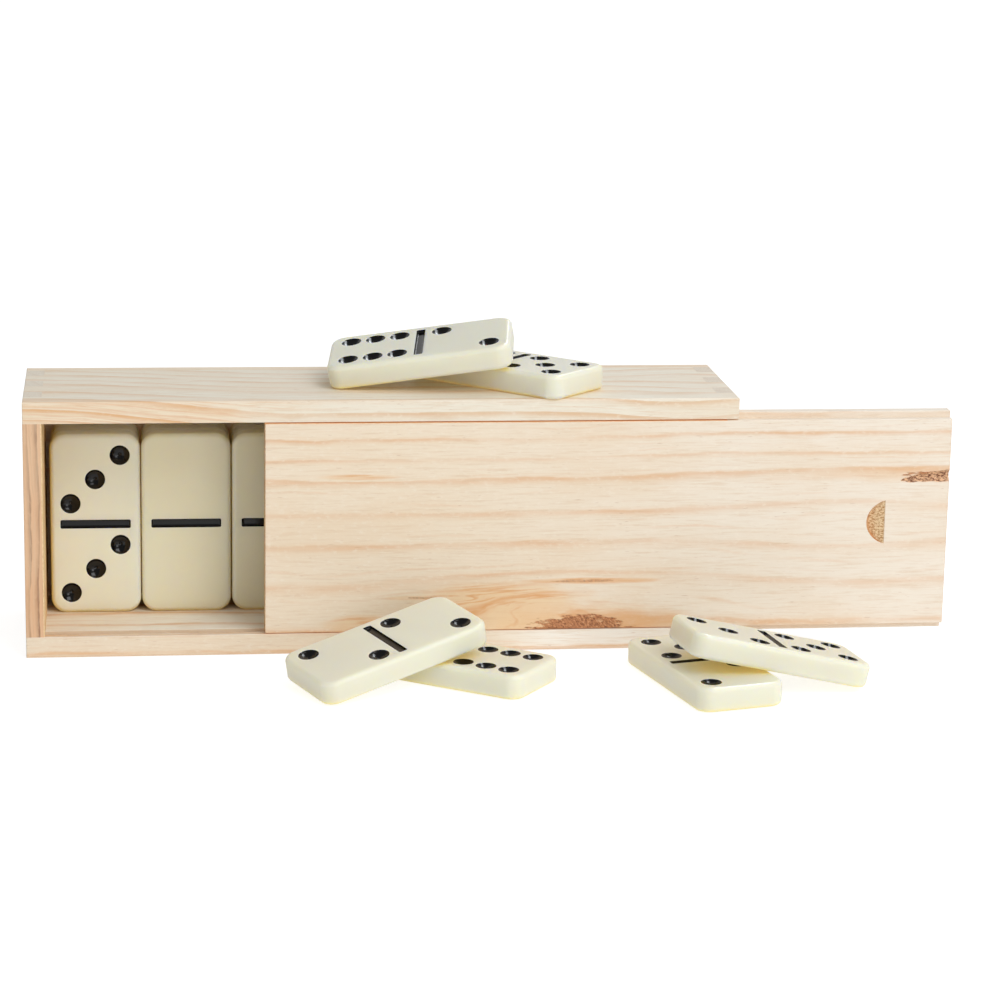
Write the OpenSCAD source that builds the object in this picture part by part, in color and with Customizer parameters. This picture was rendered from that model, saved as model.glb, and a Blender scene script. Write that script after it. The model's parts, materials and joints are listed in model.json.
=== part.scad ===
// Domino storage box: a finger-jointed pine box that stands on its long side,
// a rebated lid that slides sideways in two grooves, and a double-six set of 28 tiles.
// Six tiles lie loose on the box and in front of it, the other 22 are packed inside.
// The origin is the centre of the underside. +X runs to the open end, +Y to the back, +Z up.

/* [Box] */
// Outside length, closed end to open end
box_l = 184; // [178:1:220]
// Outside height as the box stands
box_h = 67; // [64:1:80]
// Outside depth, lid face to back of the panel
box_w = 46; // [44:1:60]
// Thickness of the two long walls
wall_t = 5.5; // [5:0.5:7]
// Thickness of the two end walls
end_t = 4.8; // [4:0.2:6]
// Thickness of the panel glued on the back
panel_t = 4; // [3:0.5:5.5]
// Number of finger segments along each corner
finger_count = 6; // [4:2:8]
// Bevel that eases the outer edges of the boards
edge_ease = 0.5; // [0.2:0.1:1]

/* [Lid] */
// How far the lid is pushed out of the box
lid_open = 56.2; // [0:0.2:60]
// Thickness of the lid's outer layer, between the long walls
lid_face_t = 2.5; // [2:0.1:3]
// Thickness of the tongues along the lid's long edges
tongue_t = 3.1; // [2.4:0.1:3.4]
// How far each tongue stands out beyond the outer layer
tongue_out = 1.7; // [1:0.1:2.1]
// Gap under the lid's outer layer
lid_gap_low = 0.2; // [0.1:0.05:0.4]
// Gap over the lid's outer layer
lid_gap_high = 0.35; // [0.1:0.05:0.4]

/* [Thumb notch] */
// Length of the notch's straight side
notch_h = 11.7; // [8:0.1:16]
// Reach of the notch from its straight side to its rounded side
notch_reach = 5; // [3:0.1:6]
// Slope of the notch's floor, in degrees
notch_slope = 26; // [16:1:32]
// Distance from the notch's straight side to the lid's end
notch_from_end = 16.8; // [10:0.2:30]

/* [Tiles] */
// Length of a tile
tile_l = 48.2; // [44:0.2:50]
// Width of a tile
tile_w = 23.5; // [22:0.1:24.4]
// Thickness of a tile
tile_t = 6.3; // [5.4:0.1:6.8]
// Corner radius of a tile seen from its face
tile_corner_r = 4; // [2:0.5:6]
// Rounding of the edges around both faces
tile_edge_r = 1.25; // [0.8:0.05:1.6]
// Width of a pip where it meets the face
pip_d = 5.2; // [3.6:0.1:5.6]
// Depth of a pip
pip_depth = 1.3; // [0.7:0.1:1.6]
// Distance between neighbouring pips, along and across the tile
pip_pitch = 6.46; // [5.6:0.02:6.8]
// Length of the groove across the middle
bar_l = 18.3; // [12:0.1:19]
// Width of the groove across the middle
bar_w = 2.3; // [1.4:0.1:3]
// Depth of the groove across the middle
bar_depth = 0.8; // [0.4:0.1:1.2]
// Slope of the tiles that lean on another tile, in degrees
lean_tilt = 13.3; // [11:0.1:18]

/* [Hidden] */
$fn = 64;
CUT = 1;                                   // how far a cut runs past the face it opens

// Box
front_y = -box_w / 2;                      // plane of the lid's face
panel_y = box_w / 2 - panel_t;             // front of the back panel
finger_w = (panel_y - front_y) / finger_count;
mid_z = box_h / 2;

// Lid and its grooves
lid_end_gap = 0.2;                         // left at the closed end when the lid is shut
lid_proud = 0.6;                           // how far the shut lid passes the open end
groove_side_gap = 0.15;                    // on each side of a tongue
groove_floor_gap = 0.4;                    // between a tongue's edge and its groove's floor
open_wall_gap = 0.3;                       // between the lid's back and the low end wall
lid_shut_x = -box_l / 2 + end_t + lid_end_gap;
lid_x = lid_shut_x + lid_open;
lid_l = box_l / 2 + lid_proud - lid_shut_x;
lid_low_z = wall_t + lid_gap_low;
lid_high_z = box_h - wall_t - lid_gap_high;
tongue_y = front_y + lid_face_t;
lid_back_y = tongue_y + tongue_t;
groove_y = tongue_y - groove_side_gap;
groove_w = tongue_t + 2 * groove_side_gap;
groove_deep = tongue_out - lid_gap_low + groove_floor_gap;

// Thumb notch: a round flat cutter, tipped over so that its floor meets the face in a line
notch_sink = notch_reach * cos(notch_slope);
notch_r = (pow(notch_h / 2, 2) + pow(notch_sink, 2)) / (2 * notch_sink);
notch_tall = 8;

// Tiles
half_l = tile_l / 4;                       // centre of each half
pip_r = (pow(pip_d / 2, 2) + pow(pip_depth, 2)) / (2 * pip_depth);
pip_z = tile_t / 2 + pip_r - pip_depth;

// Packed tiles stand in columns along the box and in layers from the panel forward
layer_count = 3;
row_start_gap = 1.3;                       // beside the first column
column_gap = 0.2;
layer_gap = 0.03;
column_pitch = tile_w + column_gap;
column_count = floor((box_l - 2 * end_t - row_start_gap) / column_pitch);
block_count = column_count * layer_count;  // the tiles that the full layers hold
layer_pitch = tile_t + layer_gap;
first_column_x = -box_l / 2 + end_t + row_start_gap + tile_w / 2;
first_layer_y = panel_y - layer_pitch / 2;
packed_z = wall_t + tile_l / 2;

// Loose tiles: three pairs, each a flat tile and a tile that leans on it
touch_gap = 0.2;                           // kept where a rounded edge rests on something
// The flat tile of each pair: its name, its centre's distance from the closed end, its
// turn, and the height it lies at
flat_tiles = ["tile_4_5", "tile_6_6", "tile_2_5"];
flat_from_end = [126.1, 108.7, 170.55];
flat_turn = [-43.3, -35.4, 104.1];
flat_base = [box_h, 0, 0];
// The first pair lies on the box, this far from the middle of its depth. The others lie
// in front, and this much room is left between the flat tile and the box
top_tile_y = -0.5;
stand_off = [0, 0.2, 6.85];
// The leaning tile of each pair: its name, the way it slopes down, its turn, and its
// shift sideways from the flat tile
lean_tiles = ["tile_2_6", "tile_2_2", "tile_3_5"];
lean_way = [-141.1, -130.8, 15.8];
lean_turn = [171.1, 25.7, 6.6];
lean_shift = [-13.1, -10.3, -6.1];

// Every tile as its low and high number of pips, and its name
most_pips_count = 6;
all_tiles = [for (a = [0:most_pips_count]) for (b = [a:most_pips_count]) [a, b]];
function tile_name(v) = str("tile_", v[0], "_", v[1]);
function place_in(list, name) = [for (i = [0:len(list) - 1]) if (list[i] == name) i];
function is_in(list, name) = len(place_in(list, name)) > 0;

// Tiles in view in the first columns, then every tile that is left
front_tiles = ["tile_3_3", "tile_0_0", "tile_1_1"];
loose_or_front = concat(front_tiles, flat_tiles, lean_tiles);
packed_tiles = concat(front_tiles,
    [for (v = all_tiles) if (!is_in(loose_or_front, tile_name(v))) tile_name(v)]);

// How far a tile reaches from its centre in a direction at this angle to its long axis
function reach(angle) = (tile_l / 2 - tile_corner_r) * abs(cos(angle))
    + (tile_w / 2 - tile_corner_r) * abs(sin(angle)) + tile_corner_r;

// Centre of the flat tile of pair i
function flat_y(i) = i == 0 ? top_tile_y : front_y - stand_off[i] - reach(90 - flat_turn[i]);
function flat_at(i) = [flat_from_end[i] - box_l / 2, flat_y(i), flat_base[i] + tile_t / 2];

// Centre of the leaning tile of pair i: its lower edge rests on the surface and
// its underside on the flat tile's upper edge
function lean_z(i) = flat_base[i] + tile_edge_r + touch_gap
    + (reach(lean_turn[i] - lean_way[i]) - tile_edge_r) * sin(lean_tilt)
    + (tile_t / 2 - tile_edge_r) * cos(lean_tilt);
function along(p, way) = p[0] * cos(way) + p[1] * sin(way);
function lean_run(i) = along(flat_at(i), lean_way[i])
    + reach(flat_turn[i] - lean_way[i]) - tile_edge_r
    + ((flat_base[i] + tile_t - tile_edge_r - lean_z(i)) * cos(lean_tilt)
        + tile_t / 2 + tile_edge_r + touch_gap) / sin(lean_tilt);
function lean_side(i) = along(flat_at(i), lean_way[i] + 90) + lean_shift[i];
function lean_at(i) = [
    lean_run(i) * cos(lean_way[i]) - lean_side(i) * sin(lean_way[i]),
    lean_run(i) * sin(lean_way[i]) + lean_side(i) * cos(lean_way[i]),
    lean_z(i)];

// One long wall, lying at the bottom, with its groove and its finger sockets
module long_wall() {
    difference() {
        rotate([90, 0, 90])
            linear_extrude(height = box_l, center = true)
                polygon([
                    [front_y + edge_ease, 0], [panel_y, 0], [panel_y, wall_t],
                    [front_y, wall_t], [front_y, edge_ease]]);
        translate([-box_l / 2 + end_t, groove_y, wall_t - groove_deep])
            cube([box_l - end_t + CUT, groove_w, groove_deep + CUT]);
        for (s = [1:2:finger_count - 1])
            for (x = [-box_l / 2 - CUT, box_l / 2 - end_t])
                translate([x, front_y + s * finger_w, -CUT])
                    cube([end_t + CUT, finger_w, wall_t + 2 * CUT]);
    }
}

// One end wall, its fingers reaching through both long walls
module end_wall(x, start_y) {
    translate([x, start_y, wall_t])
        cube([end_t, panel_y - start_y, box_h - 2 * wall_t]);
    for (s = [1:2:finger_count - 1])
        translate([x, front_y + s * finger_w, 0])
            cube([end_t, finger_w, box_h]);
}

// Solid tile with every edge rounded, its length along X and its face towards +Z
module tile_edge_profile(out) {
    square([2 * out, tile_t - 2 * tile_edge_r], center = true);
    square([2 * (out - tile_edge_r), tile_t], center = true);
    for (x = [-1, 1], z = [-1, 1])
        translate([x * (out - tile_edge_r), z * (tile_t / 2 - tile_edge_r)])
            circle(r = tile_edge_r);
}
module tile_blank() {
    rotate([90, 0, 90])
        linear_extrude(height = tile_l - 2 * tile_corner_r, center = true)
            tile_edge_profile(tile_w / 2);
    rotate([90, 0, 0])
        linear_extrude(height = tile_w - 2 * tile_corner_r, center = true)
            tile_edge_profile(tile_l / 2);
    for (x = [-1, 1], y = [-1, 1])
        translate([x * (tile_l / 2 - tile_corner_r), y * (tile_w / 2 - tile_corner_r), 0])
            rotate_extrude()
                intersection() {
                    tile_edge_profile(tile_corner_r);
                    translate([0, -tile_t / 2]) square([tile_corner_r, tile_t]);
                }
}

// Places of the pips of one value, in pip pitches from the centre of a half
function pips(value) =
    value == 1 ? [[0, 0]] :
    value == 2 ? [[1, -1], [-1, 1]] :
    value == 3 ? [[1, -1], [0, 0], [-1, 1]] :
    value == 4 ? [[1, -1], [-1, 1], [1, 1], [-1, -1]] :
    value == 5 ? [[1, -1], [-1, 1], [1, 1], [-1, -1], [0, 0]] :
    value == 6 ? [[1, -1], [-1, 1], [1, 1], [-1, -1], [0, 1], [0, -1]] : [];

// A tile with its low value on the -X half and its high value on the +X half
module tile(value) {
    color("ivory")
        difference() {
            tile_blank();
            translate([-bar_w / 2, -bar_l / 2, tile_t / 2 - bar_depth])
                cube([bar_w, bar_l, bar_depth + CUT]);
            for (side = [0, 1])
                for (p = pips(value[side]))
                    translate([
                        (2 * side - 1) * half_l + p[0] * pip_pitch, p[1] * pip_pitch, pip_z])
                        sphere(r = pip_r);
        }
}

// A packed tile: on end, its face to the lid. The layers fill from the front one back, and
// what they can't hold stands before them, from the last column on.
module packed_tile(value) {
    i = place_in(packed_tiles, tile_name(value))[0];
    in_block = i < block_count;
    column = in_block ? i % column_count : column_count - 1 - (i - block_count);
    layer = in_block ? layer_count - 1 - floor(i / column_count) : layer_count;
    translate([
        first_column_x + column * column_pitch, first_layer_y - layer * layer_pitch, packed_z])
        rotate([90, -90, 0])
            tile(value);
}

// Any tile where it belongs
module placed_tile(value) {
    name = tile_name(value);
    if (is_in(flat_tiles, name)) {
        i = place_in(flat_tiles, name)[0];
        translate(flat_at(i))
            rotate([0, 0, flat_turn[i]])
                tile(value);
    } else if (is_in(lean_tiles, name)) {
        i = place_in(lean_tiles, name)[0];
        translate(lean_at(i))
            rotate([0, 0, lean_way[i]])
                rotate([0, lean_tilt, 0])
                    rotate([0, 0, lean_turn[i] - lean_way[i]])
                        tile(value);
    } else {
        packed_tile(value);
    }
}

module side_wall_lower() {
    color("burlywood") long_wall();
}
module side_wall_upper() {
    color("burlywood")
        translate([0, 0, box_h])
            mirror([0, 0, 1])
                long_wall();
}
// The closed end comes up to the front, so the lid stops against it
module end_wall_closed() {
    color("tan") end_wall(-box_l / 2, front_y);
}
// The open end is lower by the lid's thickness, so the lid passes over it
module end_wall_open() {
    color("tan") end_wall(box_l / 2 - end_t, lid_back_y + open_wall_gap);
}
module back_panel() {
    color("burlywood")
        rotate([90, 0, 90])
            linear_extrude(height = box_l, center = true)
                polygon([
                    [panel_y, 0], [box_w / 2 - edge_ease, 0], [box_w / 2, edge_ease],
                    [box_w / 2, box_h - edge_ease], [box_w / 2 - edge_ease, box_h],
                    [panel_y, box_h]]);
}
module lid() {
    color("wheat")
        translate([lid_x, 0, 0])
            difference() {
                rotate([90, 0, 90])
                    linear_extrude(height = lid_l)
                        polygon([
                            [front_y, lid_low_z], [tongue_y, lid_low_z],
                            [tongue_y, lid_low_z - tongue_out],
                            [lid_back_y, lid_low_z - tongue_out],
                            [lid_back_y, lid_high_z + tongue_out],
                            [tongue_y, lid_high_z + tongue_out],
                            [tongue_y, lid_high_z], [front_y, lid_high_z]]);
                translate([lid_l - notch_from_end, front_y, mid_z])
                    rotate([0, 0, -notch_slope])
                        translate([notch_r - notch_sink, 0, 0])
                            rotate([90, 0, 0])
                                cylinder(r = notch_r, h = notch_tall);
            }
}

side_wall_lower();
side_wall_upper();
end_wall_closed();
end_wall_open();
back_panel();
lid();
for (v = all_tiles)
    placed_tile(v);
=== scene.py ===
import json
import math
from collections import namedtuple

import bmesh
import bpy
from mathutils import Matrix, Vector
from mathutils.geometry import delaunay_2d_cdt


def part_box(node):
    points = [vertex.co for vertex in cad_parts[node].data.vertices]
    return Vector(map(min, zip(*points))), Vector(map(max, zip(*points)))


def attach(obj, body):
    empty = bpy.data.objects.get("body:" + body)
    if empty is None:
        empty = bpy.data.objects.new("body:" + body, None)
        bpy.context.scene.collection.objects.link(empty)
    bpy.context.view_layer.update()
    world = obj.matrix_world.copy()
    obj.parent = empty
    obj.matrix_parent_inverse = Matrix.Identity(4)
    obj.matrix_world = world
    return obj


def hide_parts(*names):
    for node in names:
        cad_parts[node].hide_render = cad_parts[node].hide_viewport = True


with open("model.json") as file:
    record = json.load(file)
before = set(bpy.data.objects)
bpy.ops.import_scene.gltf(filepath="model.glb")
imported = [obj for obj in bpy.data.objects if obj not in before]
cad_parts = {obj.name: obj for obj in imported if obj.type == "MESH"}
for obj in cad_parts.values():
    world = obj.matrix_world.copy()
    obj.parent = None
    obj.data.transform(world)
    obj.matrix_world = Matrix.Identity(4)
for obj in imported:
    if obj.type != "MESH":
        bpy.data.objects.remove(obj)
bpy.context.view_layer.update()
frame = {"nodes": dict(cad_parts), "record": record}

# Dresses the domino box with six pine boards and 28 ivory tiles, and sets up the white
# studio round them. Lengths are in mm, and MM turns them into the scene's metres. The
# studio's own lengths and places are in metres.
MM = 0.001
bodies = frame["record"]["behaviour"]["bodies"]

# ---------------------------------------------------------------- sizes
BOX_L, BOX_H, BOX_W = 184.0, 67.0, 46.0
FRONT_Y = -BOX_W / 2

# Boards: how far edges are eased on the outside, on the lid and in the joints, and the
# shortest edge that is eased
OUTER_EASE, LID_EASE, JOINT_EASE, SHORTEST_EASED = 0.3, 0.2, 0.07, 1.5
EASE_STEPS = 3
# Vertices this close are one, and faces that bend less than this, in degrees, are one
WELD, FLAT_BEND = 0.002, 0.5
# Edges that bend this much are eased, and eased edges that still do stay sharp, in degrees
EASED_BEND, SHARP_BEND = 25.0, 35.0
# How near a face has to lie to an outer plane, and how squarely, to count as outside
PLANE_NEAR, PLANE_SQUARE = 0.05, 0.9
# How much a large face counts for more than a small one in the shading of their edge
NORMAL_WEIGHT = 80

# Tiles
TILE_L, TILE_W, TILE_T = 48.2, 23.5, 6.3
TILE_CORNER, TILE_EDGE = 4.0, 1.25
CORNER_STEPS, EDGE_STEPS = 9, 7
PIP_R, PIP_DEEP, PIP_PITCH, PIP_SIDES = 2.6, 1.2, 6.46, 40
# A pip from its rim inwards: (radius past PIP_R, depth), then the bowl's radii as shares
# of PIP_R, then its point as (share of PIP_R, depth past PIP_DEEP)
PIP_RIM = ((0.10, 0.0), (0.03, 0.02), (-0.03, 0.07))
PIP_BOWL = (0.955, 0.9, 0.8, 0.68, 0.54, 0.4, 0.28, 0.2)
PIP_POINT = ((0.14, 0.06), (0.05, 0.3))
BAR_L, BAR_W, BAR_CORNER, BAR_CORNER_LEAST, BAR_CORNER_STEPS = 18.3, 2.3, 0.4, 0.06, 4
# The bar's groove from its rim inwards: (past its outline, depth)
BAR_RIM = ((0.06, 0.0), (0.0, 0.06), (-0.08, 0.50), (-0.22, 0.67), (-0.45, 0.76), (-0.75, 0.8))
# The slots of a tile's materials
RESIN, PAINT = 0, 1
# Points of the top face this near, in mm, are one
SAME_POINT = 1e-5
# Loose tiles: the way each one slopes, how much, and its turn, all in degrees
LEAN_TILT = 13.3
LOOSE = {
    "tile_4_5": (0.0, 0.0, -43.3), "tile_2_6": (-141.1, LEAN_TILT, 171.1),
    "tile_6_6": (0.0, 0.0, -35.4), "tile_2_2": (-130.8, LEAN_TILT, 25.7),
    "tile_2_5": (0.0, 0.0, 104.1), "tile_3_5": (15.8, LEAN_TILT, 6.6),
}
# A packed tile stands on its end and faces the front
PACKED = Matrix(((0, -1, 0, 0), (0, 0, -1, 0), (1, 0, 0, 0), (0, 0, 0, 1)))
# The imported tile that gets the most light, by the closed end wall
OUTER_TILE = "tile_3_3"

# Resin pocket in the lid: its tip (x, z), length, height, rise and depth, how far its
# cutter starts before the face and reaches out of it, and its steps along and across
SLIT_TIP, SLIT_L, SLIT_H, SLIT_RISE, SLIT_DEEP = (135.6, 44.6), 14.0, 3.0, 1.2, 1.3
SLIT_START, SLIT_OUT, SLIT_SPARE = 0.05, 0.6, 0.03
SLIT_STEPS, SLIT_ROWS = 40, 9
# How fast the pocket opens from its tip, and how much its outline and its floor wobble
SLIT_OPENING, SLIT_WOBBLE, SLIT_ROUGH = 1.6, 0.10, 0.22

# Camera, solved from the box's edges
CAMERA_AT = (-65.89, -789.42, 225.82)
CAMERA_RIGHT = (0.99266, -0.11962, 0.01810)
CAMERA_DOWN = (-0.01046, -0.23389, -0.97221)
CAMERA_LENS, SENSOR = 110.57, 36.0
CLIP_START, CLIP_END = 10.0, 50000.0


# ---------------------------------------------------------------- colours
def rgb(r, g, b):
    """A colour given as it shows on screen, 0 to 255, in linear values."""
    def linear(v):
        v /= 255.0
        return v / 12.92 if v <= 0.04045 else ((v + 0.055) / 1.055) ** 2.4
    return (linear(r), linear(g), linear(b), 1.0)


def grey(value):
    return (value, value, value, 1.0)


WHITE = grey(1.0)
# Common pine, and the pairs (dark, light) of its end grain
EARLY, LATE, PALE = rgb(239, 222, 198), rgb(226, 177, 130), rgb(246, 235, 218)
FIBRE, CLOUD, CANAL = rgb(220, 191, 158), rgb(232, 205, 172), rgb(176, 126, 84)
END_BROWN = (rgb(176, 142, 104), rgb(212, 190, 160))
END_GOLD = (rgb(150, 100, 52), rgb(222, 182, 126))
# A knot: its halo, the flames in it, and the core's flecks from dark to light
HALO, FLAME = rgb(238, 190, 122), rgb(220, 146, 74)
FLECKS = (rgb(124, 74, 44), rgb(196, 132, 86), rgb(228, 186, 142))
# Painted shade on the walls of cuts
CUT_WALL_SHADE = rgb(196, 122, 62)
# What closed-in wood is multiplied by, a painted warm shade, and the tones and strengths of the
# faint painted glow in gaps, which stands in for light that a fast render doesn't carry there
WOOD_SHADE = (1.0, 0.87, 0.70, 1.0)
WOOD_GLOW, RESIN_GLOW = (1.0, 0.50, 0.22, 1.0), (1.0, 0.86, 0.42, 1.0)
GLOW, GLOW_WOOD = 0.09, 0.08


# ---------------------------------------------------------------- node helper
class Graph:
    """Builds the nodes of a new material or world with short calls."""

    # Sockets of a Mix node that mixes colours: factor, both colours, and the result
    FACTOR, COLOR_A, COLOR_B, COLOR_OUT = 0, 6, 7, 2

    def __init__(self, owner):
        self.owner = owner
        owner.use_nodes = True
        self.tree = owner.node_tree
        self.tree.nodes.clear()

    def add(self, kind, **settings):
        n = self.tree.nodes.new(kind)
        for key, value in settings.items():
            setattr(n, key, value)
        return n

    def plug(self, socket, value):
        if isinstance(value, bpy.types.NodeSocket):
            self.tree.links.new(value, socket)
        else:
            socket.default_value = value

    def plug_all(self, sockets, values):
        for socket, value in zip(sockets, values):
            self.plug(socket, value)

    def math(self, operation, *values):
        n = self.add("ShaderNodeMath", operation=operation)
        self.plug_all(n.inputs, values)
        return n.outputs[0]

    def plus(self, a, b):
        return self.math("ADD", a, b)

    def minus(self, a, b):
        return self.math("SUBTRACT", a, b)

    def times(self, a, b):
        return self.math("MULTIPLY", a, b)

    def over(self, a, b):
        return self.math("DIVIDE", a, b)

    def most(self, a, b):
        return self.math("MAXIMUM", a, b)

    def scaled(self, value, scale, offset):
        return self.math("MULTIPLY_ADD", value, scale, offset)

    def centred(self, noise, amount):
        """Noise turned into an amount to either side of zero."""
        return self.scaled(noise, amount, -0.5 * amount)

    def vector(self, x, y, z):
        n = self.add("ShaderNodeCombineXYZ")
        self.plug_all(n.inputs, (x, y, z))
        return n.outputs[0]

    def coordinate(self, kind):
        return self.add("ShaderNodeTexCoord").outputs[kind]

    def split(self, vector):
        """The x, y and z of a vector."""
        n = self.add("ShaderNodeSeparateXYZ")
        self.plug(n.inputs[0], vector)
        return list(n.outputs)

    def noise(self, vector, scale=1.0, detail=2.0, roughness=0.5):
        n = self.add("ShaderNodeTexNoise")
        self.plug(n.inputs["Vector"], vector)
        n.inputs["Scale"].default_value = scale
        n.inputs["Detail"].default_value = detail
        n.inputs["Roughness"].default_value = roughness
        return n.outputs["Fac"]

    def band(self, value, low, high, out_low=0.0, out_high=1.0):
        """A smooth step from out_low to out_high while value goes from low to high."""
        n = self.add("ShaderNodeMapRange", clamp=True, interpolation_type="SMOOTHSTEP")
        self.plug_all(n.inputs, (value, low, high, out_low, out_high))
        return n.outputs[0]

    def ramp(self, value, stops):
        """Greys through the stops, which are (place, grey)."""
        n = self.add("ShaderNodeValToRGB")
        self.plug(n.inputs[0], value)
        elements = n.color_ramp.elements
        while len(elements) < len(stops):
            elements.new(0.5)
        for element, (place, tone) in zip(elements, stops):
            element.position, element.color = place, grey(tone)
        return n.outputs[0]

    def mix(self, factor, a, b, blend="MIX"):
        n = self.add("ShaderNodeMix", data_type="RGBA", blend_type=blend)
        self.plug(n.inputs[self.FACTOR], factor)
        self.plug(n.inputs[self.COLOR_A], a)
        self.plug(n.inputs[self.COLOR_B], b)
        return n.outputs[self.COLOR_OUT]

    def closed_in(self, distance, low, high):
        """1 where surfaces within this many mm close a place in, falling to 0 in the open.
        low and high are how open it is at either end of that."""
        n = self.add("ShaderNodeAmbientOcclusion", samples=4)
        n.inputs["Distance"].default_value = distance * MM
        return self.band(n.outputs["AO"], low, high, 1.0, 0.0)

    def shader(self, kind, **sockets):
        """A node with values on its named sockets, where _ stands for a space."""
        n = self.add(kind)
        for key, value in sockets.items():
            self.plug(n.inputs[key.replace("_", " ")], value)
        return n.outputs[0]

    def bump(self, height, distance):
        """A relief this deep, in mm."""
        return self.shader("ShaderNodeBump", Strength=1.0, Distance=distance * MM, Height=height)

    def finish(self, surface, kind="ShaderNodeOutputMaterial"):
        self.plug(self.add(kind).inputs["Surface"], surface)
        return self.owner


def new_graph(name):
    return Graph(bpy.data.materials.new(name))


# ---------------------------------------------------------------- pine
# A knot's place, half sizes, push on the rings, and how strong its core and halo are
Knot = namedtuple("Knot", "across along half_length half_height push core halo")
# A cut or a face with colours set apart, between a lowest and a highest corner. rim is the
# colour of what faces sideways in it, a painted shade on the walls of cuts. On the two faces
# that are patches, their colours are painted light and shade
Patch = namedtuple("Patch", "low high dark light rim")
# A change along an axis: the paler tone that the early wood goes over into, and how far it goes
Change = namedtuple("Change", "axis start stop tone share")

# How dark the wood is over one ring, and over one of the finer rings between two of them
RING_PROFILE = ((0.0, 0.85), (0.045, 0.25), (0.14, 0.0), (0.70, 0.0),
                (0.84, 0.38), (0.94, 1.0), (1.0, 0.9))
MINOR_PROFILE = ((0.0, 0.0), (0.6, 0.0), (0.85, 1.0), (1.0, 0.0))
MINOR_RINGS = 3.0
RING_MARGIN = 4.0
# How much of their own colour rings and cut ends take, and how much of their painted light and
# shade the walls of patches and closed-in places take
RING_SHARE, END_SHARE, WALL_SHARE, SHADE_SHARE = 0.9, 0.8, 0.8, 0.3
# How far the rings ripple, in mm, and how fast a knot's push on them fades
RIPPLE, PUSH_FADE = 1.6, -0.12
# Where a knot's core and halo end, in squares of its half sizes, and how ragged they are
CORE_END, CORE_RAGGED = (0.6, 0.95), 2.6
HALO_END, HALO_RAGGED = (0.6, 6.5), 7.0
PATCH_SOFT = 0.06


class Wood(Graph):
    """A material that knows its grain. A place is given in mm as along, on the axis of the
    fibres, across, on the axis the rings are counted on, and through, on the third axis.
    deep is through, counted from the board's face."""

    def __init__(self, name, grain, across, face, seed):
        super().__init__(bpy.data.materials.new(name))
        self.xyz = [self.times(part, 1.0 / MM) for part in self.split(self.coordinate("Object"))]
        self.normal = self.split(self.coordinate("Normal"))
        self.axis, other = "XYZ".index(grain), "XYZ".index(across)
        self.along, self.across = self.xyz[self.axis], self.xyz[other]
        self.through = self.xyz[3 - self.axis - other]
        self.deep = self.minus(self.through, face)
        self.seed = seed

    def stretched(self, length, width, third, detail, roughness=0.5):
        """Noise with patches this long along the grain and this wide across it."""
        place = self.vector(self.over(self.along, length), self.over(self.across, width), third)
        return self.noise(place, detail=detail, roughness=roughness)

    def layered(self, length, width, change, offset, detail):
        """Stretched noise that changes slowly with the depth."""
        third = self.scaled(self.deep, change, self.seed + offset)
        return self.stretched(length, width, third, detail)

    def fibres(self, length, width, detail, roughness=0.5):
        """Stretched noise that is as fine with the depth as it is across."""
        third = self.over(self.through, width)
        return self.stretched(length, width, third, detail, roughness)


def bend_rings(g, lean, curl, drift, wavy):
    """The place across once the rings lean, curl, drift and wave, and the noises for it."""
    bent = g.scaled(g.deep, lean, g.across)
    bent = g.scaled(g.times(g.deep, g.deep), curl, bent)
    for start, stop, amount in drift:
        bent = g.plus(bent, g.band(g.along, start, stop, 0.0, amount))
    wave = g.layered(length=60.0, width=40.0, change=0.03, offset=0.0, detail=1.0)
    ripple = g.layered(length=11.0, width=5.0, change=0.2, offset=7.0, detail=3.0)
    bent = g.plus(bent, g.centred(wave, wavy))
    bent = g.plus(bent, g.centred(ripple, RIPPLE))
    return bent, wave, ripple


def bend_round_knots(g, bent, ripple, knots):
    """Pushes the rings aside at the knots, and finds the knots' cores and halos."""
    core_mask = halo_mask = 0.0
    ragged = g.stretched(length=3.6, width=0.9, third=g.seed, detail=4.0) if knots else 0.0
    for knot in knots:
        u = g.over(g.minus(g.along, knot.along), knot.half_length)
        v = g.over(g.minus(g.across, knot.across), knot.half_height)
        away = g.plus(g.times(u, u), g.times(v, v))
        fade = g.math("EXPONENT", g.times(away, PUSH_FADE))
        bent = g.minus(bent, g.times(g.times(v, fade), knot.push))
        if knot.halo:
            edge = g.plus(away, g.centred(ragged, CORE_RAGGED))
            core_mask = g.most(core_mask, g.band(edge, *CORE_END, knot.core, 0.0))
            edge = g.plus(away, g.centred(ripple, HALO_RAGGED))
            halo_mask = g.most(halo_mask, g.band(edge, *HALO_END, knot.halo, 0.0))
    return bent, core_mask, halo_mask


def count_rings(g, bent, rings):
    """A curve that passes 1, 2, 3 and so on at the places of the rings."""
    start, span = rings[0] - RING_MARGIN, rings[-1] - rings[0] + 2 * RING_MARGIN
    step = 1.0 / (len(rings) + 1)
    stops = [((place - start) / span, n * step) for n, place in enumerate(rings, 1)]
    stops = [(0.0, 0.0)] + stops + [(1.0, 1.0)]
    curve = g.add("ShaderNodeFloatCurve")
    points = curve.mapping.curves[0].points
    while len(points) < len(stops):
        points.new(0.5, 0.5)
    for point, stop in zip(points, stops):
        point.location, point.handle_type = stop, "VECTOR"
    curve.mapping.update()
    g.plug(curve.inputs["Value"], g.over(g.minus(bent, start), span))
    return g.over(curve.outputs[0], step)


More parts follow.
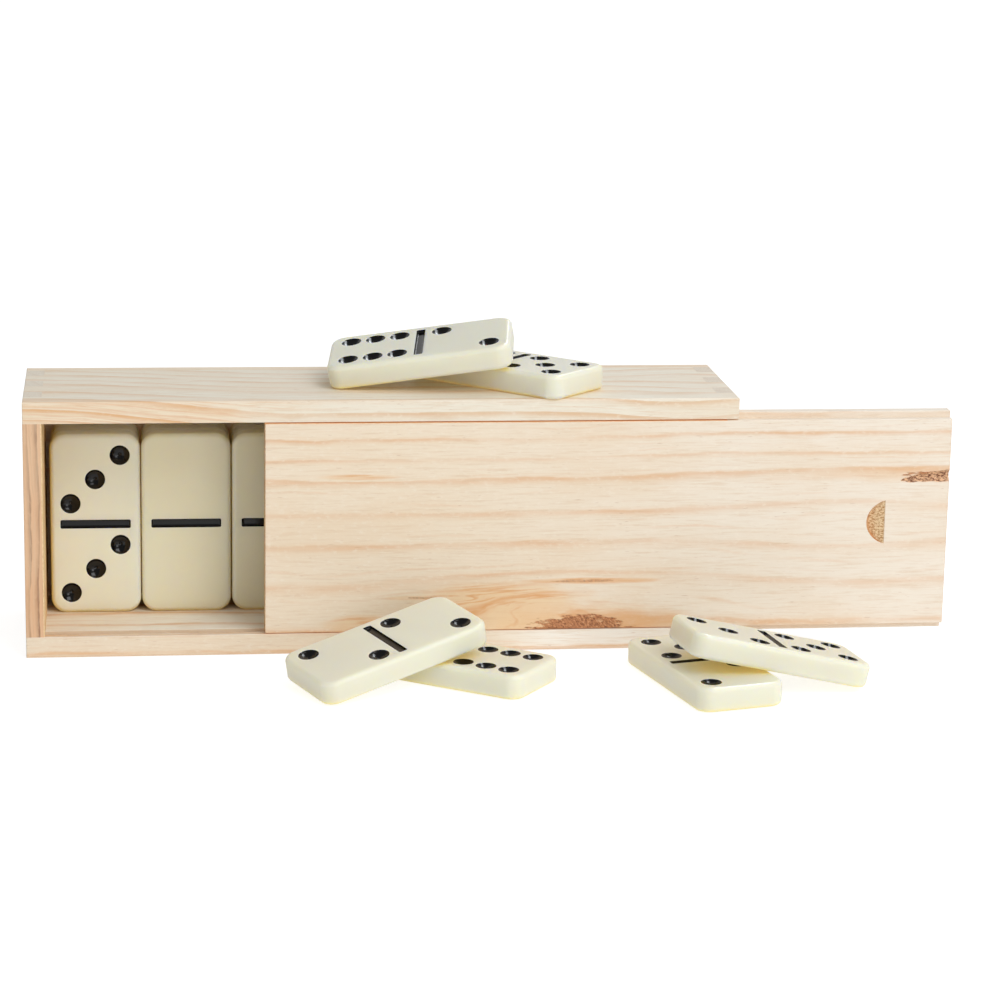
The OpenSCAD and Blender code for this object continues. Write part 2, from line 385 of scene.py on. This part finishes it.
def ring_masks(g, count, wave, thick):
    """The rings, the finer rings between them, and both as they fade in and out."""
    phase = g.math("FRACT", count)
    if thick != 1.0:
        phase = g.minus(1.0, g.over(g.minus(1.0, phase), thick))
    rings = g.ramp(phase, RING_PROFILE)
    minor_phase = g.math("FRACT", g.scaled(count, MINOR_RINGS, g.times(wave, 2.0)))
    minor = g.ramp(minor_phase, MINOR_PROFILE)
    patchy = g.layered(length=30.0, width=3.5, change=0.25, offset=3.0, detail=3.0)
    fading = g.stretched(length=75.0, width=8.0, third=g.seed + 21.0, detail=2.0)
    shown = g.times(g.band(patchy, 0.30, 0.66, 0.3, 1.0), g.band(fading, 0.36, 0.60, 0.5, 1.0))
    minor_shown = g.times(minor, g.band(patchy, 0.45, 0.75, 0.0, 0.45))
    return rings, minor, g.most(g.times(rings, shown), minor_shown)


def color_knots(g, color, bent, rings, minor, core_mask, halo_mask):
    """Halos with flames that swirl round the knots, and flecked cores."""
    swirl = g.noise(g.vector(g.over(g.along, 12.0), g.over(bent, 0.7), g.seed), detail=3.0)
    flames = g.most(g.times(minor, 0.6), g.band(swirl, 0.44, 0.68, 0.0, 0.75))
    flames = g.most(g.times(rings, 0.55), flames)
    color = g.mix(g.times(halo_mask, 0.5), color, HALO)
    color = g.mix(g.times(halo_mask, flames), color, FLAME)
    slanted = g.scaled(g.across, 0.6, g.along)
    place = g.vector(g.over(slanted, 0.55), g.over(g.across, 0.9), g.seed)
    speck = g.noise(place, detail=3.0, roughness=0.75)
    dark, middle, light = FLECKS
    flecks = g.mix(g.band(speck, 0.34, 0.58), dark, middle)
    flecks = g.mix(g.band(speck, 0.56, 0.72), flecks, light)
    return g.mix(core_mask, color, flecks)


def color_patch(g, color, pores, patch):
    """The floor and the walls of a patch, which faces along Y. Its walls take the rim colour, a
    painted shade in the cuts.
    """
    inside = 1.0
    for place, low, high in zip(g.xyz, patch.low, patch.high):
        past_low = g.band(place, low, low + PATCH_SOFT)
        before_high = g.band(place, high - PATCH_SOFT, high, 1.0, 0.0)
        inside = g.times(inside, g.times(past_low, before_high))
    _, normal_y, _ = g.normal
    sideways = g.band(g.math("ABSOLUTE", normal_y), 0.3, 0.6, 1.0, 0.0)
    floor = g.mix(g.band(pores, 0.36, 0.6), patch.dark, patch.light)
    return g.mix(inside, color, g.mix(g.times(sideways, WALL_SHARE), floor, patch.rim))


def pine(name, grain, across, rings, face, lean, curl=0.0, drift=(), wavy=3.0, seed=0.0,
         early=EARLY, late=LATE, pale=PALE, end=END_BROWN, thick=1.0, paler=(), knots=(),
         patches=()):
    """Pine. grain is the axis of the fibres, and rings gives the places of the dark rings
    along the axis across, on the plane where the third axis equals face. lean and curl
    slant and bend the rings as they go deeper, drift is (start, stop, amount) of shifts
    along the grain, and thick widens the rings' dark parts. end is the pair of colours of
    the end grain."""
    g = Wood(name, grain, across, face, seed)
    bent, wave, ripple = bend_rings(g, lean, curl, drift, wavy)
    bent, core_mask, halo_mask = bend_round_knots(g, bent, ripple, knots)
    count = count_rings(g, bent, rings)
    ring_mask, minor_mask, late_mask = ring_masks(g, count, wave, thick)

    # Early and late wood, then fibres, clouds, flecks and resin canals
    for change in paler:
        place = g.xyz["XYZ".index(change.axis)]
        amount = g.band(place, change.start, change.stop, 0.0, change.share)
        early, late = g.mix(amount, early, change.tone), g.mix(amount, late, LATE)
    streaks = g.fibres(length=9.0, width=0.55, detail=3.0, roughness=0.62)
    weave = g.fibres(length=1.7, width=0.8, detail=3.0, roughness=0.6)
    canals = g.fibres(length=2.6, width=0.32, detail=1.0)
    cloud = g.layered(length=40.0, width=14.0, change=0.05, offset=11.0, detail=2.0)
    color = g.mix(g.times(late_mask, RING_SHARE), early, late)
    color = g.mix(g.band(streaks, 0.45, 0.78, 0.0, 0.50), color, FIBRE)
    color = g.mix(g.band(cloud, 0.42, 0.72, 0.0, 0.30), color, CLOUD)
    color = g.mix(g.band(weave, 0.5, 0.8, 0.0, 0.45), color, pale)
    color = g.mix(g.band(canals, 0.70, 0.80, 0.0, 0.35), color, CANAL)
    if any(knot.halo for knot in knots):
        color = color_knots(g, color, bent, ring_mask, minor_mask, core_mask, halo_mask)

    # End grain where the surface cuts across the fibres
    pores = g.fibres(length=0.8, width=0.42, detail=3.0, roughness=0.65)
    end_dark, end_light = end
    end_color = g.mix(g.band(pores, 0.3, 0.62), end_dark, end_light)
    end_color = g.mix(g.times(late_mask, 0.45), end_color, end_dark)
    cut = g.band(g.math("ABSOLUTE", g.normal[g.axis]), 0.22, 0.5)
    color = g.mix(g.times(cut, END_SHARE), color, end_color)
    for patch in patches:
        color = color_patch(g, color, pores, patch)

    # Painted warm shade where it is closed in, a faint painted glow in the narrowest gaps, and a
    # fine relief
    closed = g.closed_in(12.0, 0.1, 0.55)
    gap = g.closed_in(1.5, 0.02, 0.3)
    color = g.mix(g.times(closed, SHADE_SHARE), color, WOOD_SHADE, "MULTIPLY")
    height = g.scaled(streaks, 0.6, g.times(late_mask, 0.4))
    height = g.scaled(weave, 0.5, height)
    return g.finish(g.shader(
        "ShaderNodeBsdfPrincipled", Base_Color=color,
        Roughness=g.band(streaks, 0.2, 0.8, 0.50, 0.64), Normal=g.bump(height, 0.05),
        Emission_Color=WOOD_GLOW, Emission_Strength=g.times(gap, GLOW_WOOD),
        Specular_IOR_Level=0.5))


# ---------------------------------------------------------------- tile materials
def ivory_resin(name, low, high, shaded, glow=0.0):
    """Ivory resin between two tones, and a third one, a painted golden shade, where it is closed
    in, with a painted glow there when glow is given.
    """
    g = new_graph(name)
    place = g.coordinate("Object")
    color = g.mix(g.band(g.noise(place, 45.0), 0.3, 0.7), low, high)
    # Painted golden shade, and the painted glow, where the tile is closed in
    closed = g.closed_in(7.0, 0.1, 0.55)
    return g.finish(g.shader(
        "ShaderNodeBsdfPrincipled", Base_Color=g.mix(closed, color, shaded),
        Roughness=g.band(g.noise(place, 120.0), 0.3, 0.7, 0.285, 0.33),
        Subsurface_Weight=1.0, Subsurface_Radius=(1.0, 0.88, 0.5), Subsurface_Scale=4.0 * MM,
        Emission_Color=RESIN_GLOW, Emission_Strength=g.times(closed, glow) if glow else 0.0,
        Specular_IOR_Level=0.45))


def pip_paint():
    """Near-black paint with faint brush marks."""
    g = new_graph("pip_paint")
    brush = g.noise(g.coordinate("Object"), 700.0, detail=3.0)
    return g.finish(g.shader(
        "ShaderNodeBsdfPrincipled", Base_Color=g.mix(brush, rgb(4, 4, 5), rgb(15, 14, 14)),
        Roughness=g.band(brush, 0.3, 0.7, 0.12, 0.2), Normal=g.bump(brush, 0.01),
        Specular_IOR_Level=0.4))


# ---------------------------------------------------------------- meshes
def new_object(name, bm, materials, smooth=True):
    mesh = bpy.data.meshes.new(name)
    for face in bm.faces:
        face.smooth = smooth
    bm.to_mesh(mesh)
    bm.free()
    obj = bpy.data.objects.new(name, mesh)
    bpy.context.scene.collection.objects.link(obj)
    for m in materials:
        mesh.materials.append(m)
    if smooth:
        mod = obj.modifiers.new("face_normals", "WEIGHTED_NORMAL")
        mod.keep_sharp = True
        mod.weight = NORMAL_WEIGHT
    return obj


def body_with(node):
    return next(name for name, nodes in bodies.items() if node in nodes)


def finish_piece(obj, node):
    bpy.context.view_layer.update()
    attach(obj, body_with(node))
    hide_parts(node)


# ---------------------------------------------------------------- tiles
def rounded_loop(half_x, half_y, radius, steps, z):
    """Points round a rounded rectangle, counterclockwise, in mm."""
    points = []
    for corner, (sx, sy) in enumerate(((1, 1), (-1, 1), (-1, -1), (1, -1))):
        for k in range(steps + 1):
            t = math.radians(90 * corner + 90 * k / steps)
            points.append(Vector((sx * (half_x - radius) + radius * math.cos(t),
                                  sy * (half_y - radius) + radius * math.sin(t), z)))
    return points


def add_loop(bm, points):
    return [bm.verts.new(p * MM) for p in points]


def bridge(bm, lower, upper, material=RESIN):
    for k in range(len(lower)):
        n = (k + 1) % len(lower)
        bm.faces.new((lower[k], lower[n], upper[n], upper[k])).material_index = material


def dish(bm, loops):
    """Joins the loops of a dish, painted but for the first step of its rim."""
    for k, (outer, inner) in enumerate(zip(loops, loops[1:])):
        bridge(bm, outer, inner, PAINT if k else RESIN)
    bm.faces.new(loops[-1]).material_index = PAINT
    return loops[0]


def pip_places(value):
    """The places of the pips of one half, in steps of PIP_PITCH."""
    diagonal = [(1, -1), (-1, 1)]
    square = diagonal + [(1, 1), (-1, -1)]
    return {0: [], 1: [(0, 0)], 2: diagonal, 3: diagonal + [(0, 0)], 4: square,
            5: square + [(0, 0)], 6: square + [(0, 1), (0, -1)]}[value]


def pip_profile():
    """A pip's (radius, depth) from its rim to its point: a small rim, then a round bowl."""
    ball = (PIP_R ** 2 + PIP_DEEP ** 2) / (2 * PIP_DEEP)
    profile = [(PIP_R + past, depth) for past, depth in PIP_RIM]
    for share in PIP_BOWL:
        r = PIP_R * share
        profile.append((r, math.sqrt(ball ** 2 - r ** 2) - ball + PIP_DEEP))
    return profile + [(PIP_R * share, PIP_DEEP + past) for share, past in PIP_POINT]


def tile_shell(bm):
    """The tile without its top face. Returns the loop that the top face fills."""
    loops = []
    for side, turns in ((-1, range(EDGE_STEPS, -1, -1)), (1, range(EDGE_STEPS + 1))):
        for k in turns:
            t = math.radians(90 * k / EDGE_STEPS)
            inset = TILE_EDGE * (1 - math.cos(t))
            z = side * (TILE_T / 2 - TILE_EDGE + TILE_EDGE * math.sin(t))
            loops.append(add_loop(bm, rounded_loop(
                TILE_L / 2 - inset, TILE_W / 2 - inset, TILE_CORNER - inset, CORNER_STEPS, z)))
    bm.faces.new(loops[0][::-1])
    for lower, upper in zip(loops, loops[1:]):
        bridge(bm, lower, upper)
    return loops[-1]


def pip_dish(bm, centre):
    """One pip. Returns its outer loop and a test for points inside it."""
    turns = [2 * math.pi * n / PIP_SIDES for n in range(PIP_SIDES)]
    rim = dish(bm, [add_loop(bm, [
        centre + Vector((r * math.cos(t), r * math.sin(t), TILE_T / 2 - depth))
        for t in turns]) for r, depth in pip_profile()])
    return rim, lambda p: (p - centre).length < PIP_R + PIP_RIM[0][0]


def bar_groove(bm):
    """The middle bar. Returns its outer loop and a test for points inside it."""
    half_x, half_y, past = BAR_W / 2, BAR_L / 2, BAR_RIM[0][0]
    rim = dish(bm, [add_loop(bm, rounded_loop(
        half_x + grow, half_y + grow, max(BAR_CORNER_LEAST, BAR_CORNER + grow),
        BAR_CORNER_STEPS, TILE_T / 2 - depth)) for grow, depth in BAR_RIM])
    return rim, lambda p: abs(p.x) < half_x + past and abs(p.y) < half_y + past


def fill_top(bm, outline, holes):
    """The flat face between the outline and the holes, in triangles."""
    verts, edges = [], []
    for loop in [outline] + [rim for rim, _ in holes]:
        first, size = len(verts), len(loop)
        verts += loop
        edges += [(first + k, first + (k + 1) % size) for k in range(size)]
    flat = [Vector((v.co.x / MM, v.co.y / MM)) for v in verts]
    out, _, faces, origin, _, _ = delaunay_2d_cdt(flat, edges, [], 0, SAME_POINT)
    for f in faces:
        middle = sum((Vector((*out[k], 0)) for k in f), Vector()) / len(f)
        if not any(inside(middle) for _, inside in holes):
            bm.faces.new([verts[origin[k][0]] for k in f])


def tile_mesh(low, high):
    """One tile, face up, its long side along X: rounded all round, with painted dishes."""
    bm = bmesh.new()
    outline = tile_shell(bm)
    holes = []
    for side, value in ((-1, low), (1, high)):
        for u, v in pip_places(value):
            centre = Vector((side * TILE_L / 4 + u * PIP_PITCH, v * PIP_PITCH, 0))
            holes.append(pip_dish(bm, centre))
    holes.append(bar_groove(bm))
    fill_top(bm, outline, holes)
    bmesh.ops.recalc_face_normals(bm, faces=bm.faces)
    return bm


def tile_turn(node):
    """How a tile is turned from lying face up with its long side along X."""
    if node not in LOOSE:
        return PACKED
    way, tilt, turn = (math.radians(v) for v in LOOSE[node])
    return (Matrix.Rotation(way, 4, "Z") @ Matrix.Rotation(tilt, 4, "Y")
            @ Matrix.Rotation(turn - way, 4, "Z"))


def add_tiles(loose, packed, outer, paint):
    """All the tiles, each in the copy of the resin for its place; the copies differ by painted
    light and shade.
    """
    for node in frame["nodes"]:
        if not node.startswith("tile_"):
            continue
        low, high = (int(n) for n in node.split("_")[1:])
        lowest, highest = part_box(node)
        # The packed tiles' copy is warmer, a painted bounce from the wood, and the outer tile's
        # copy lighter, painted light
        resin = loose if node in LOOSE else outer if node == OUTER_TILE else packed
        bm = tile_mesh(low, high)
        bm.transform(Matrix.Translation((Vector(lowest) + Vector(highest)) / 2)
                     @ tile_turn(node))
        obj = new_object(node + "_piece", bm, [resin, paint])
        finish_piece(obj, node)


# ---------------------------------------------------------------- boards
def on_outside(normal, point):
    """True if a face at this point lies on one of the box's outer planes."""
    p = point / MM - Vector((0.0, 0.0, BOX_H / 2))
    return any(abs(normal[i]) > PLANE_SQUARE and abs(abs(p[i]) - size / 2) < PLANE_NEAR
               for i, size in enumerate((BOX_L, BOX_W, BOX_H)))


def bend(edge):
    """The angle between an edge's two faces, 0 where there aren't two."""
    return edge.calc_face_angle(0)


def board(node, material, ease, cutter=None):
    """A board with the CAD node's own shape. Edges on the outside are eased as by sandpaper,
    the others only enough to show the joint."""
    bm = bmesh.new()
    bm.from_mesh(frame["nodes"][node].data)
    bmesh.ops.remove_doubles(bm, verts=bm.verts, dist=WELD * MM)
    bmesh.ops.dissolve_limit(bm, angle_limit=math.radians(FLAT_BEND), verts=bm.verts,
                             edges=bm.edges)
    wide, narrow = [], []
    for e in bm.edges:
        if len(e.link_faces) != 2 or bend(e) < math.radians(EASED_BEND):
            continue
        if e.is_convex and e.calc_length() > SHORTEST_EASED * MM:
            outside = node == "lid" or all(
                on_outside(f.normal, f.calc_center_median()) for f in e.link_faces)
            (wide if outside else narrow).append(e)
    for chosen, offset in ((wide, ease), (narrow, JOINT_EASE)):
        bmesh.ops.bevel(bm, geom=[e for e in chosen if e.is_valid], offset=offset * MM,
                        segments=EASE_STEPS, profile=0.5, affect="EDGES", clamp_overlap=True)
    for e in bm.edges:
        e.smooth = len(e.link_faces) == 2 and bend(e) < math.radians(SHARP_BEND)
    obj = new_object(node + "_piece", bm, [material])
    if cutter:
        cut_away(obj, cutter)
    finish_piece(obj, node)


def cut_away(obj, cutter):
    """Takes the solid cutter out of obj, for good."""
    mod = obj.modifiers.new("cut", "BOOLEAN")
    mod.object, mod.operation, mod.solver = cutter, "DIFFERENCE", "EXACT"
    obj.modifiers.move(len(obj.modifiers) - 1, 0)
    # The normals are left for later, so that they fit the final shape
    normals = obj.modifiers["face_normals"]
    normals.show_viewport = False
    shape = bpy.data.meshes.new_from_object(
        obj.evaluated_get(bpy.context.evaluated_depsgraph_get()))
    normals.show_viewport = True
    obj.modifiers.remove(mod)
    obj.data = shape
    bpy.data.objects.remove(cutter)


def slit_middle(t):
    """The height of the resin pocket's middle, t of the way from its tip."""
    wobble = SLIT_WOBBLE * math.sin(23 * t)
    return SLIT_TIP[1] + SLIT_RISE * math.sin(t * math.pi / 2) + wobble


def slit_half(t):
    """Half the resin pocket's height, t of the way from its tip."""
    opened = math.sqrt(min(1.0, SLIT_OPENING * t))
    return SLIT_H / 2 * opened * (1 + SLIT_WOBBLE * math.sin(9 * t))


def slit_depth(t, v):
    """The depth of the resin pocket's ragged floor, v from -1 to 1 across it."""
    rough = 1 + SLIT_ROUGH * math.sin(31 * t + 5 * v) * math.cos(13 * t - 7 * v)
    return SLIT_DEEP * (1 - v * v) * math.sqrt(t) * rough


def resin_slit():
    """The open resin pocket at the lid's end: a lens with a ragged floor, as a solid."""
    bm = bmesh.new()
    floor, lid = [], []
    for i in range(SLIT_STEPS + 1):
        t = i / SLIT_STEPS
        x = SLIT_TIP[0] + t * SLIT_L
        floor.append([])
        lid.append([])
        for j in range(SLIT_ROWS):
            v = -1 + 2 * j / (SLIT_ROWS - 1)
            z = slit_middle(t) + v * (slit_half(t) + SLIT_SPARE)
            y = FRONT_Y - SLIT_START + slit_depth(t, v)
            floor[i].append(bm.verts.new(Vector((x, y, z)) * MM))
            lid[i].append(bm.verts.new(Vector((x, FRONT_Y - SLIT_OUT, z)) * MM))
    last = SLIT_ROWS - 1
    for i in range(SLIT_STEPS):
        for j in range(last):
            bm.faces.new((floor[i][j], floor[i][j + 1], floor[i + 1][j + 1], floor[i + 1][j]))
            bm.faces.new((lid[i][j], lid[i + 1][j], lid[i + 1][j + 1], lid[i][j + 1]))
        for j in (0, last):
            bm.faces.new((floor[i][j], floor[i + 1][j], lid[i + 1][j], lid[i][j]))
    for i in (0, SLIT_STEPS):
        for j in range(last):
            bm.faces.new((floor[i][j], lid[i][j], lid[i][j + 1], floor[i][j + 1]))
    bmesh.ops.recalc_face_normals(bm, faces=bm.faces)
    bmesh.ops.triangulate(bm, faces=bm.faces)
    return new_object("slit_cutter", bm, [], smooth=False)


# ---------------------------------------------------------------- the object
# The packed tiles' resin is a warmer copy, a painted bounce from the wood round them, and the
# outer tile's a lighter, less warm one, painted light; each third tone is a painted golden shade
add_tiles(paint=pip_paint(),
          loose=ivory_resin("ivory_resin", rgb(228, 225, 208), rgb(230, 229, 212),
                            rgb(244, 228, 158), GLOW),
          packed=ivory_resin("ivory_resin_packed_warm_bounce", rgb(236, 229, 200), rgb(238, 232, 205),
                             rgb(226, 200, 122)),
          outer=ivory_resin("ivory_resin_outer_lit", rgb(239, 234, 212), rgb(241, 237, 216),
                            rgb(232, 208, 132)))

LID_KNOTS = (
    # across, along, half length, half height, push, core, halo
    Knot(6.0, 51.5, 13.5, 3.7, 3.0, 1.0, 0.65),
    Knot(46.2, 150.0, 15.0, 1.1, 0.9, 1.0, 0.3),
    Knot(7.0, 37.0, 9.0, 2.6, 0.8, 0.0, 1.0),
    Knot(12.5, 32.0, 11.0, 3.0, 1.2, 0.0, 0.9),
    Knot(7.5, -6.0, 5.0, 1.2, 0.4, 0.0, 0.7),
    Knot(46.9, -6.0, 5.0, 0.35, 1.0, 0.0, 0.55),
    Knot(33.5, 119.0, 9.0, 2.6, 1.6, 0.0, 0.0),
    Knot(14.6, 11.0, 5.0, 0.32, 0.8, 0.5, 0.6),
    Knot(18.6, 53.0, 9.0, 0.4, 1.0, 0.45, 0.7),
)
# Cuts in the lid with painted shade on their walls, and two faces in painted light and shade
THUMB_NOTCH = Patch((125.0, FRONT_Y + 0.10, 27.0), (131.9, FRONT_Y + 3.0, 40.0),
                    rgb(186, 134, 80), rgb(242, 216, 174), CUT_WALL_SHADE)
RESIN_POCKET = Patch((134.0, FRONT_Y + 0.10, 43.0), (150.0, FRONT_Y + 2.0, 48.6),
                     rgb(112, 60, 34), rgb(236, 190, 148), CUT_WALL_SHADE)
# Painted warm shade on the lid's upper edge, seen in the gap under the upper wall
LID_EDGE_GAP_SHADE = Patch((-40.0, FRONT_Y - 1.0, 61.0), (89.0, FRONT_Y + 2.7, 61.3),
                       rgb(244, 184, 128), rgb(252, 214, 170), rgb(250, 196, 140))
# Painted warm light on the closed end wall's inner face
END_INNER_FACE_LIGHT = Patch((-87.5, FRONT_Y - 1.0, 4.0), (-87.0, 20.0, 63.0),
                       rgb(230, 192, 140), rgb(244, 214, 168), rgb(238, 202, 150))

lid_pine = pine(
    "lid_pine", "X", "Z", (-3.0, 6.4, 18.0, 28.6, 37.0, 46.4, 51.6, 57.0, 62.4, 67.5),
    face=FRONT_Y, lean=0.3, drift=((-31, 149, -0.8),), wavy=2.2, seed=1.0, end=END_GOLD,
    paler=(Change("X", 0.0, 110.0, rgb(241, 230, 215), 0.8),), knots=LID_KNOTS,
    patches=(THUMB_NOTCH, RESIN_POCKET, LID_EDGE_GAP_SHADE))
upper_pine = pine(
    "upper_pine", "X", "Y",
    (-31.0, -25.6, -16.5, -8.0, 2.3, 7.5, 14.0, 19.5, 26.0, 33.0, 40.0),
    face=BOX_H, lean=2.0, drift=((-92, -20, 13.0),), seed=4.0, thick=1.8,
    early=rgb(238, 229, 211), late=rgb(224, 184, 142),
    end=(rgb(216, 202, 182), rgb(230, 220, 204)),
    knots=(Knot(-24.0, -82.0, 26.0, 2.2, 0.0, 0.0, 0.5),
           Knot(4.0, 82.0, 7.0, 6.0, 4.0, 0.0, 0.0),
           Knot(-14.0, 74.0, 6.0, 4.0, 2.0, 0.0, 0.0)))
# The bay's floor, on top of this board, and the board from x 15 on go over into paler tones:
# painted light
lower_pine = pine(
    "lower_pine", "X", "Z", (-9.0, -4.0, 1.2, 6.2, 10.0, 15.0), face=FRONT_Y, lean=0.45,
    seed=8.0, early=rgb(236, 218, 193), end=(rgb(206, 190, 168), rgb(226, 216, 198)),
    paler=(Change("Z", 5.3, 5.45, rgb(252, 244, 230), 1.0),
           Change("X", 15.0, 50.0, rgb(247, 241, 231), 1.0)))
end_pine = pine(
    "end_pine", "Z", "X", (-99.0, -96.0, -93.0, -90.6, -88.4, -85.0, -82.0), face=FRONT_Y,
    lean=0.16, curl=0.004, wavy=2.6, seed=12.0, thick=2.0, early=rgb(226, 179, 138),
    late=rgb(122, 70, 42), pale=rgb(230, 190, 152),
    end=(rgb(219, 208, 190), rgb(231, 223, 208)),
    paler=(Change("Y", FRONT_Y + 0.5, FRONT_Y + 5.0, rgb(240, 224, 200), 0.9),),
    patches=(END_INNER_FACE_LIGHT,))
far_end_pine = pine(
    "far_end_pine", "Z", "Y", (-28.0, -21.0, -15.0, -10.0, -4.0, 1.0, 7.0, 12.0, 18.0, 25.0),
    face=BOX_L / 2, lean=0.6, wavy=4.0, seed=14.0,
    end=(rgb(208, 190, 168), rgb(226, 214, 196)))
panel_pine = pine(
    "panel_pine", "X", "Z", (-6.0, 4.0, 11.0, 21.0, 34.0, 44.0, 52.0, 59.0, 66.0, 73.0),
    face=BOX_W / 2, lean=-0.9, drift=((-92, 92, 3.0),), wavy=6.0, seed=16.0)

board("side_wall_upper", upper_pine, OUTER_EASE)
board("side_wall_lower", lower_pine, OUTER_EASE)
board("end_wall_closed", end_pine, OUTER_EASE)
board("end_wall_open", far_end_pine, OUTER_EASE)
board("back_panel", panel_pine, OUTER_EASE)
board("lid", lid_pine, LID_EASE, resin_slit())

# ---------------------------------------------------------------- stage, in metres
FLOOR_SIZE, FLOOR_DROP = 6.0, 0.0002
# The floor's grey and glow, for other rays and for the camera
PAPER, PAPER_SHOWN = (0.85, 0.17), (0.45, 0.78)
# The diffuse light from all round: its level, its slopes along x, y and z, its tints, and
# the heights between which one goes over into the other
AMBIENT, AMBIENT_SLOPES = 0.40, (0.24, -0.18, 0.36)
LOW_TINT, HIGH_TINT = (1.0, 0.98, 0.95, 1.0), (0.96, 0.98, 0.99, 1.0)
TINT_RISE = (0.0, 0.9)
# What reflections show: a dim room, and a bright wall that begins this far behind and ends
# this high up
ROOM, WALL, WALL_BEHIND, WALL_TOP = 0.22, 0.55, (-0.1, 0.35), (0.45, 0.6)
BOX_MIDDLE = (0.0, 0.0, 0.03)


def add_floor():
    """White paper. The camera sees it glow, so that it is white but keeps a faint shadow."""
    g = new_graph("floor_paper")
    sheets = []
    for tone, strength in (PAPER, PAPER_SHOWN):
        both = g.add("ShaderNodeAddShader")
        g.plug_all(both.inputs, (
            g.shader("ShaderNodeBsdfDiffuse", Color=grey(tone)),
            g.shader("ShaderNodeEmission", Color=WHITE, Strength=strength)))
        sheets.append(both.outputs[0])
    pick = g.add("ShaderNodeMixShader")
    seen = g.add("ShaderNodeLightPath").outputs["Is Camera Ray"]
    g.plug_all(pick.inputs, [seen] + sheets)
    paper = g.finish(pick.outputs[0])
    bm = bmesh.new()
    bmesh.ops.create_grid(bm, x_segments=1, y_segments=1, size=FLOOR_SIZE)
    floor = new_object("floor", bm, [paper], smooth=False)
    floor.location = (0, 0, -FLOOR_DROP)


def add_world():
    """Soft light all round for diffuse rays, the room for glossy ones, white for the camera."""
    world = bpy.data.worlds.new("studio")
    bpy.context.scene.world = world
    g = Graph(world)
    path = g.add("ShaderNodeLightPath").outputs
    way = g.split(g.coordinate("Generated"))
    wall = g.times(g.band(way[1], *WALL_BEHIND), g.band(way[2], *WALL_TOP, 1.0, 0.0))
    room = g.scaled(wall, WALL, ROOM)
    tent = AMBIENT
    for part, slope in zip(reversed(way), reversed(AMBIENT_SLOPES)):
        tent = g.scaled(part, slope, tent)
    shown = g.most(g.times(path["Is Glossy Ray"], room), g.times(path["Is Diffuse Ray"], tent))
    shown = g.most(shown, path["Is Camera Ray"])
    tint = g.mix(g.band(way[2], *TINT_RISE), LOW_TINT, HIGH_TINT)
    color = g.mix(path["Is Diffuse Ray"], WHITE, tint)
    g.finish(g.shader("ShaderNodeBackground", Color=color, Strength=shown),
             "ShaderNodeOutputWorld")


def add_lamp(name, place, target, wide, tall, watts, color, diffuse=True):
    lamp = bpy.data.lights.new(name, "AREA")
    lamp.shape, lamp.size, lamp.size_y = "RECTANGLE", wide, tall
    lamp.energy, lamp.color = watts, color
    obj = bpy.data.objects.new(name, lamp)
    bpy.context.scene.collection.objects.link(obj)
    obj.location = place
    obj.visible_camera = False
    obj.visible_diffuse = diffuse
    obj.rotation_euler = (Vector(target) - Vector(place)).to_track_quat("-Z", "Y").to_euler()


def add_camera():
    cam = bpy.data.cameras.new("camera")
    obj = bpy.data.objects.new("camera", cam)
    bpy.context.scene.collection.objects.link(obj)
    cam.sensor_width, cam.sensor_fit, cam.lens = SENSOR, "HORIZONTAL", CAMERA_LENS
    cam.clip_start, cam.clip_end = CLIP_START * MM, CLIP_END * MM
    right, down = Vector(CAMERA_RIGHT).normalized(), Vector(CAMERA_DOWN).normalized()
    ahead = right.cross(down)
    basis = Matrix((right, -down, -ahead)).transposed().to_4x4()
    obj.matrix_world = Matrix.Translation(Vector(CAMERA_AT) * MM) @ basis
    bpy.context.scene.camera = obj


add_floor()
add_world()
add_lamp("key", (0.77, -1.39, 0.22), BOX_MIDDLE, wide=0.5, tall=0.5, watts=2.35,
         color=(0.97, 0.985, 1.0))
# Seen by glossy rays only, for the highlights in the pips
add_lamp("tube", (0.52, 0.75, 1.05), (0.52, 0.75, 0.0), wide=0.28, tall=1.7, watts=15.0,
         color=(0.93, 0.97, 1.0), diffuse=False)
add_lamp("top", (0.60, -0.90, 1.12), BOX_MIDDLE, wide=0.8, tall=0.8, watts=7.6,
         color=(0.96, 0.975, 1.0))
add_camera()
bpy.context.scene.view_settings.view_transform = "Standard"
